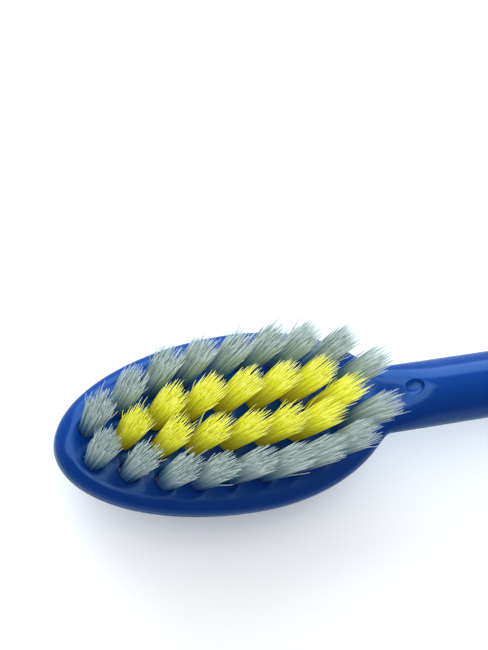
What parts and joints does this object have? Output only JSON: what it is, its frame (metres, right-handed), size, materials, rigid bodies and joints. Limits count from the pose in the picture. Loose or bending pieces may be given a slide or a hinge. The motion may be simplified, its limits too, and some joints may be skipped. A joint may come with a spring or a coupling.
{
  "type": "toothbrush",
  "caption": "Child's manual toothbrush: one-piece moulded handle with an egg-shaped head, an outer ring of grey bristle tufts round yellow ones, each tuft held by a metal anchor.",
  "frame": {"origin": "middle of the brush's outline in plan, on the surface that it lies on, bristles up", "axes": "+X runs from the head to the tail of the handle, +Y across the brush, +Z along the bristles from the head's face"},
  "size_m": [0.15, 0.0132, 0.0171],
  "materials": {
    "handle_plastic": "glossy opaque blue moulded plastic",
    "grey_bristle": "translucent grey nylon filaments with tapered tips",
    "yellow_bristle": "bright yellow nylon filaments with tapered tips",
    "anchor_metal": "plain cut nickel silver strip"
  },
  "bodies": {
    "root": {"handle_body": "handle_plastic", "tuft_grey_01": "grey_bristle", "tuft_grey_02": "grey_bristle", "tuft_grey_03": "grey_bristle", "tuft_grey_04": "grey_bristle", "tuft_grey_05": "grey_bristle", "tuft_grey_06": "grey_bristle", "tuft_grey_07": "grey_bristle", "tuft_grey_08": "grey_bristle", "tuft_grey_09": "grey_bristle", "tuft_grey_10": "grey_bristle", "tuft_grey_11": "grey_bristle", "tuft_grey_12": "grey_bristle", "tuft_grey_13": "grey_bristle", "tuft_grey_14": "grey_bristle", "tuft_grey_15": "grey_bristle", "tuft_grey_16": "grey_bristle", "tuft_grey_17": "grey_bristle", "tuft_grey_18": "grey_bristle", "tuft_yellow_01": "yellow_bristle", "tuft_yellow_02": "yellow_bristle", "tuft_yellow_03": "yellow_bristle", "tuft_yellow_04": "yellow_bristle", "tuft_yellow_05": "yellow_bristle", "tuft_yellow_06": "yellow_bristle", "tuft_yellow_07": "yellow_bristle", "tuft_yellow_08": "yellow_bristle", "tuft_yellow_09": "yellow_bristle", "tuft_yellow_10": "yellow_bristle", "tuft_yellow_11": "yellow_bristle", "tuft_yellow_12": "yellow_bristle", "anchor_grey_01": "anchor_metal", "anchor_grey_02": "anchor_metal", "anchor_grey_03": "anchor_metal", "anchor_grey_04": "anchor_metal", "anchor_grey_05": "anchor_metal", "anchor_grey_06": "anchor_metal", "anchor_grey_07": "anchor_metal", "anchor_grey_08": "anchor_metal", "anchor_grey_09": "anchor_metal", "anchor_grey_10": "anchor_metal", "anchor_grey_11": "anchor_metal", "anchor_grey_12": "anchor_metal", "anchor_grey_13": "anchor_metal", "anchor_grey_14": "anchor_metal", "anchor_grey_15": "anchor_metal", "anchor_grey_16": "anchor_metal", "anchor_grey_17": "anchor_metal", "anchor_grey_18": "anchor_metal", "anchor_yellow_01": "anchor_metal", "anchor_yellow_02": "anchor_metal", "anchor_yellow_03": "anchor_metal", "anchor_yellow_04": "anchor_metal", "anchor_yellow_05": "anchor_metal", "anchor_yellow_06": "anchor_metal", "anchor_yellow_07": "anchor_metal", "anchor_yellow_08": "anchor_metal", "anchor_yellow_09": "anchor_metal", "anchor_yellow_10": "anchor_metal", "anchor_yellow_11": "anchor_metal"}
  },
  "joints": []
}
